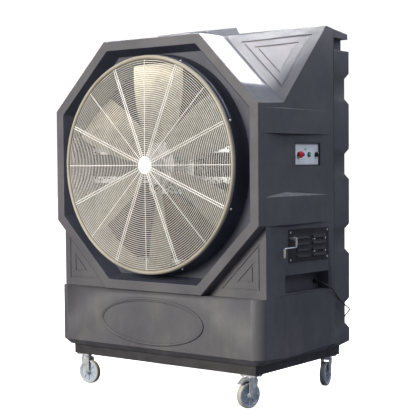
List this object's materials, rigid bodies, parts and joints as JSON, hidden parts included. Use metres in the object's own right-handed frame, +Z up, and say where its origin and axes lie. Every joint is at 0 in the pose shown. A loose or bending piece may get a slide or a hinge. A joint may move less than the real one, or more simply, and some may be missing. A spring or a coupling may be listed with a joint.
{
  "type": "evaporative cooler",
  "caption": "Wheeled evaporative cooler: octagonal fan mouth with wire guard, moulded casing over a water tank, pads at the back, castors below.",
  "frame": {"origin": "centre of the flat lifting pad under the middle of the base frame", "axes": "+X to the right of a person facing the fan, +Y from the fan towards the pads at the back, +Z up"},
  "size_m": [1.6265, 1.0827, 2.2432],
  "materials": {
    "shell_plastic": "textured dark grey rotomoulded plastic",
    "ring_plastic": "grey-beige moulded plastic",
    "guard_wire": "light grey powder-coated wire",
    "white_metal": "white painted steel",
    "galvanised": "galvanised sheet",
    "cast_alloy": "cast, satin",
    "steel": "machined steel",
    "cast_iron": "painted casting",
    "belt_rubber": "matt rubber",
    "motor_paint": "painted, ribbed",
    "crank_metal": "plated steel with pale sleeves",
    "zinc": "zinc plated",
    "dark_plastic": "black plastic",
    "plate_grey": "pale grey plate",
    "red_button": "gloss red",
    "blue_button": "gloss blue",
    "green_button": "translucent green",
    "lamp_green": "small lens",
    "brass": "plain brass",
    "white_plastic": "white plastic",
    "pad_cellulose": "corrugated cellulose paper",
    "caster_wheel": "grey moulded wheel",
    "frame_paint": "dark painted steel"
  },
  "bodies": {
    "root": {"front_shroud": "shell_plastic", "main_casing": "shell_plastic", "rear_frame": "shell_plastic", "water_tank": "shell_plastic", "base_frame": "frame_paint", "roof_cover": "shell_plastic", "venturi_ring": "ring_plastic", "guard_rings": "guard_wire", "guard_spokes": "guard_wire", "guard_disc": "white_metal", "guard_screws": "zinc", "shaft_bearings": "cast_iron", "fan_frame": "galvanised", "drive_belt": "belt_rubber", "cross_beams": "galvanised", "service_plate": "dark_plastic", "plate_screws": "zinc", "vent_bolts": "zinc", "control_box": "dark_plastic", "control_plate": "plate_grey", "button_collars": "dark_plastic", "pilot_lamp": "lamp_green", "water_inlet": "brass", "drain_plug": "dark_plastic", "float_valve": "brass", "pump": "dark_plastic", "riser_hose": "dark_plastic", "spray_header": "white_plastic", "cooling_pads": "pad_cellulose", "pad_tray": "galvanised", "pad_grille": "galvanised", "cord_gland": "dark_plastic", "power_cord": "belt_rubber", "caster_plates": "zinc", "caster_bolts": "zinc"},
    "fan": {"fan_blades": "galvanised", "fan_hub": "cast_alloy", "fan_shaft": "steel", "fan_pulley": "cast_iron"},
    "motor_slide": {"motor_base": "galvanised", "motor_body": "motor_paint"},
    "motor_rotor": {"motor_pulley": "cast_iron", "motor_shaft": "steel"},
    "crank_spindle": {"tension_screw": "zinc"},
    "crank": {"crank_handle": "crank_metal"},
    "stop": {"stop_button": "red_button"},
    "blue": {"blue_button": "blue_button"},
    "start": {"start_button": "green_button"},
    "selector": {"selector_knob": "dark_plastic"},
    "float": {"float_arm": "white_plastic"},
    "swivel_front_left": {"fork_front_left": "zinc"},
    "roller_front_left": {"wheel_front_left": "caster_wheel"},
    "swivel_front_right": {"fork_front_right": "zinc"},
    "roller_front_right": {"wheel_front_right": "caster_wheel"},
    "brake_front_right": {"brake_front_right": "zinc"},
    "swivel_rear_left": {"fork_rear_left": "zinc"},
    "roller_rear_left": {"wheel_rear_left": "caster_wheel"},
    "brake_rear_left": {"brake_rear_left": "zinc"},
    "swivel_rear_right": {"fork_rear_right": "zinc"},
    "roller_rear_right": {"wheel_rear_right": "caster_wheel"}
  },
  "joints": [
    {"name": "fan_spin", "type": "hinge", "parent": "root", "child": "fan", "pos_m": [0, -0.445, 1.198], "axis": [0, 1, 0], "continuous": true},
    {"name": "motor_slide", "type": "slide", "parent": "root", "child": "motor_slide", "axis": [1, 0, 0], "range_m": [-0.03, 0], "deforming": ["drive_belt"]},
    {"name": "motor_spin", "type": "hinge", "parent": "motor_slide", "child": "motor_rotor", "pos_m": [0.59, -0.283, 0.722], "axis": [0, 1, 0], "continuous": true},
    {"name": "crank_spin", "type": "hinge", "parent": "root", "child": "crank_spindle", "pos_m": [0.798, -0.173, 0.768], "axis": [1, 0, 0], "range_deg": [-3600, 0]},
    {"name": "crank_fold", "type": "hinge", "parent": "crank_spindle", "child": "crank", "pos_m": [0.798, -0.173, 0.768], "axis": [0, -1, 0], "range_deg": [0, 90]},
    {"name": "stop_press", "type": "slide", "parent": "root", "child": "stop", "axis": [0.9983, -0.0586, 0], "range_m": [-0.006, 0]},
    {"name": "blue_press", "type": "slide", "parent": "root", "child": "blue", "axis": [0.9983, -0.0586, 0], "range_m": [-0.003, 0]},
    {"name": "start_press", "type": "slide", "parent": "root", "child": "start", "axis": [0.9983, -0.0586, 0], "range_m": [-0.003, 0]},
    {"name": "selector_turn", "type": "hinge", "parent": "root", "child": "selector", "pos_m": [0.78346, 0.09824, 1.255], "axis": [0.9983, -0.0586, 0], "range_deg": [-45, 45]},
    {"name": "float_swing", "type": "hinge", "parent": "root", "child": "float", "pos_m": [-0.722, 0.241, 0.378], "axis": [0, 1, 0], "range_deg": [0, 40], "stiffness_Nm_per_rad": 2, "springref_deg": -25.78},
    {"name": "swivel_front_left", "type": "hinge", "parent": "root", "child": "swivel_front_left", "pos_m": [-0.645, -0.413, -0.02], "axis": [0, 0, 1], "continuous": true},
    {"name": "roll_front_left", "type": "hinge", "parent": "swivel_front_left", "child": "roller_front_left", "pos_m": [-0.62109, -0.41091, -0.115], "axis": [-0.0872, 0.9962, 0], "continuous": true},
    {"name": "swivel_front_right", "type": "hinge", "parent": "root", "child": "swivel_front_right", "pos_m": [0.645, -0.413, -0.02], "axis": [0, 0, 1], "continuous": true},
    {"name": "roll_front_right", "type": "hinge", "parent": "swivel_front_right", "child": "roller_front_right", "pos_m": [0.63879, -0.43618, -0.115], "axis": [0.9659, -0.2588, 0], "continuous": true},
    {"name": "brake_front_right", "type": "hinge", "parent": "swivel_front_right", "child": "brake_front_right", "pos_m": [0.63361, -0.4555, -0.022], "axis": [0.9659, -0.2588, 0], "range_deg": [0, 20], "stiffness_Nm_per_rad": 0.3, "springref_deg": -14.9},
    {"name": "swivel_rear_left", "type": "hinge", "parent": "root", "child": "swivel_rear_left", "pos_m": [-0.645, 0.405, -0.02], "axis": [0, 0, 1], "continuous": true},
    {"name": "roll_rear_left", "type": "hinge", "parent": "swivel_rear_left", "child": "roller_rear_left", "pos_m": [-0.65321, 0.42755, -0.115], "axis": [-0.9397, -0.342, 0], "continuous": true},
    {"name": "brake_rear_left", "type": "hinge", "parent": "swivel_rear_left", "child": "brake_rear_left", "pos_m": [-0.66005, 0.44635, -0.022], "axis": [-0.9397, -0.342, 0], "range_deg": [0, 20], "stiffness_Nm_per_rad": 0.3, "springref_deg": -14.9},
    {"name": "swivel_rear_right", "type": "hinge", "parent": "root", "child": "swivel_rear_right", "pos_m": [0.645, 0.405, -0.02], "axis": [0, 0, 1], "continuous": true},
    {"name": "roll_rear_right", "type": "hinge", "parent": "swivel_rear_right", "child": "roller_rear_right", "pos_m": [0.65081, 0.38171, -0.115], "axis": [0.9703, 0.2419, 0], "continuous": true}
  ],
  "couplings": [
    {"joint": "motor_spin", "follows": "fan_spin", "ratio": 3.6667},
    {"joint": "crank_spin", "follows": "motor_slide", "rad_per_m": 2094.4}
  ]
}
